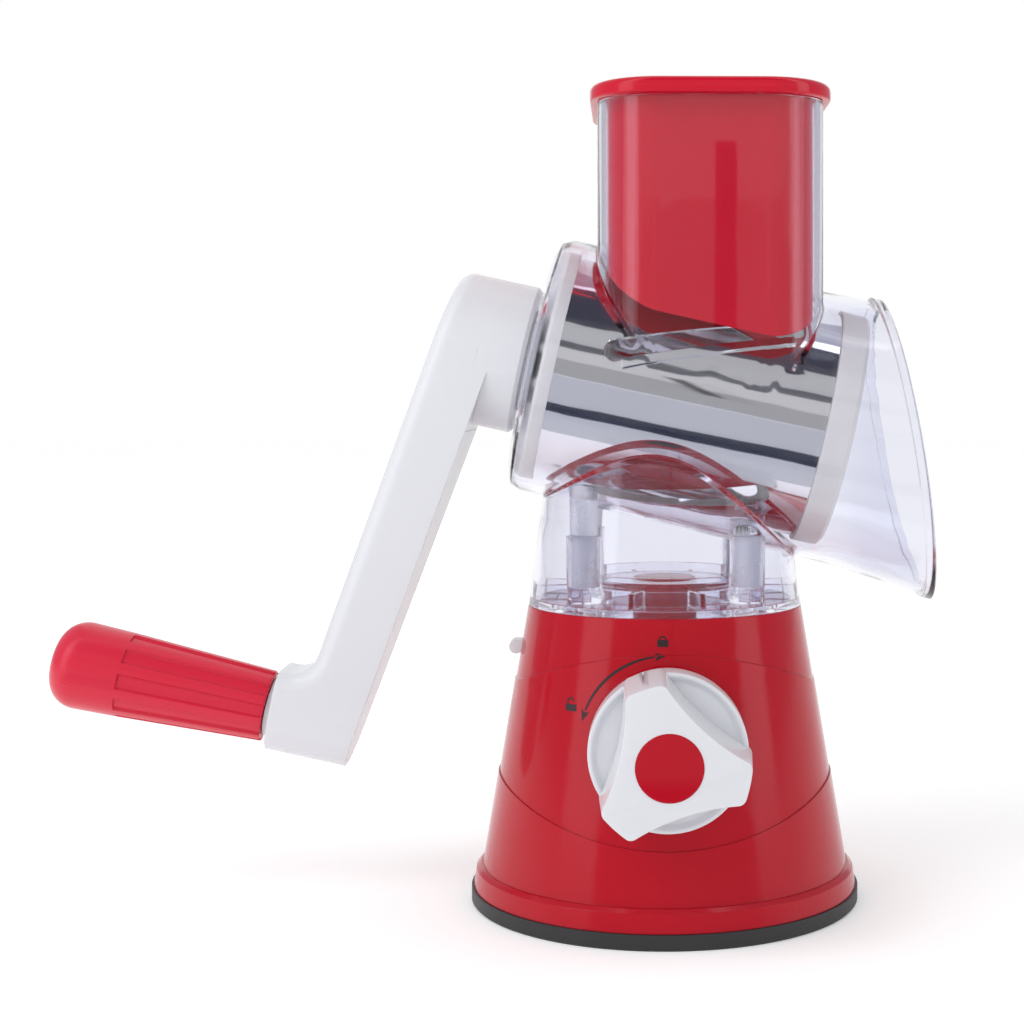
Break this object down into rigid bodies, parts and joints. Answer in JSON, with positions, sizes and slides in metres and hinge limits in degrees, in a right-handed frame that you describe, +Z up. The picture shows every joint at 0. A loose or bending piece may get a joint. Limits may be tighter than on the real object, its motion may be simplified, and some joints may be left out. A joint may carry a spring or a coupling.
{
  "type": "rotary drum vegetable shredder",
  "caption": "Hand cranked drum shredder: slanted steel drum in a clear barrel with feed hopper, open chute, pusher, side crank and suction foot with a turning lock knob.",
  "frame": {"origin": "centre of the suction foot's resting face", "axes": "+Z up; +X toward the outlet chute; the lock knob is on the -Y side and the crank on the -X side"},
  "size_m": [0.291, 0.1483, 0.2656],
  "materials": {
    "red_plastic": "gloss",
    "white_plastic": "satin",
    "clear_plastic": "polished",
    "drum_steel": "polished",
    "foot_rubber": "matte",
    "screw_steel": "satin",
    "spring_steel": "satin",
    "inner_plastic": "matte"
  },
  "bodies": {
    "base": {"base_shell": "red_plastic", "suction_cup": "foot_rubber", "inner_frame": "inner_plastic", "base_screws": "screw_steel", "body_neck": "clear_plastic", "barrel_housing": "clear_plastic", "latch_spring": "spring_steel"},
    "knob": {"suction_knob": "white_plastic", "knob_cap": "red_plastic", "knob_screw": "screw_steel", "cam_shaft": "inner_plastic"},
    "stem": {"suction_stem": "inner_plastic"},
    "latch": {"release_latch": "white_plastic"},
    "crank": {"crank_arm": "white_plastic", "crank_cover": "white_plastic", "drive_shaft": "white_plastic", "shaft_screw": "screw_steel", "grip_spindle": "white_plastic"},
    "grip": {"crank_grip": "red_plastic"},
    "drum": {"drum_shell": "drum_steel", "drum_front_ring": "white_plastic", "drum_rear_cap": "white_plastic"},
    "pusher": {"pusher_body": "red_plastic", "pusher_lid": "red_plastic"}
  },
  "joints": [
    {"name": "crank_spin", "type": "hinge", "parent": "base", "child": "crank", "pos_m": [0, 0, 0.1676], "axis": [0.9763, 0, -0.2164], "continuous": true},
    {"name": "drum_spin", "type": "hinge", "parent": "base", "child": "drum", "pos_m": [0, 0, 0.1676], "axis": [0.9763, 0, -0.2164], "continuous": true},
    {"name": "grip_spin", "type": "hinge", "parent": "crank", "child": "grip", "pos_m": [-0.16495, 0, 0.0704], "axis": [0.9763, 0, -0.2164], "continuous": true},
    {"name": "pusher_slide", "type": "slide", "parent": "base", "child": "pusher", "axis": [0, 0, 1], "range_m": [0, 0.08]},
    {"name": "knob_turn", "type": "hinge", "parent": "base", "child": "knob", "pos_m": [0, -0.06, 0.0589], "axis": [0, -1, 0], "range_deg": [-13, 45]},
    {"name": "stem_lift", "type": "slide", "parent": "base", "child": "stem", "axis": [0, 0, 1], "range_m": [-0.00376, 0.00109], "deforming": ["suction_cup"]},
    {"name": "latch_slide", "type": "slide", "parent": "base", "child": "latch", "axis": [0, 0, -1], "range_m": [0, 0.004], "stiffness_N_per_m": 250, "springref_m": -0.002, "deforming": ["latch_spring"]}
  ],
  "couplings": [
    {"joint": "drum_spin", "follows": "crank_spin", "ratio": 1},
    {"joint": "knob_turn", "follows": "stem_lift", "rad_per_m": -208.77}
  ]
}
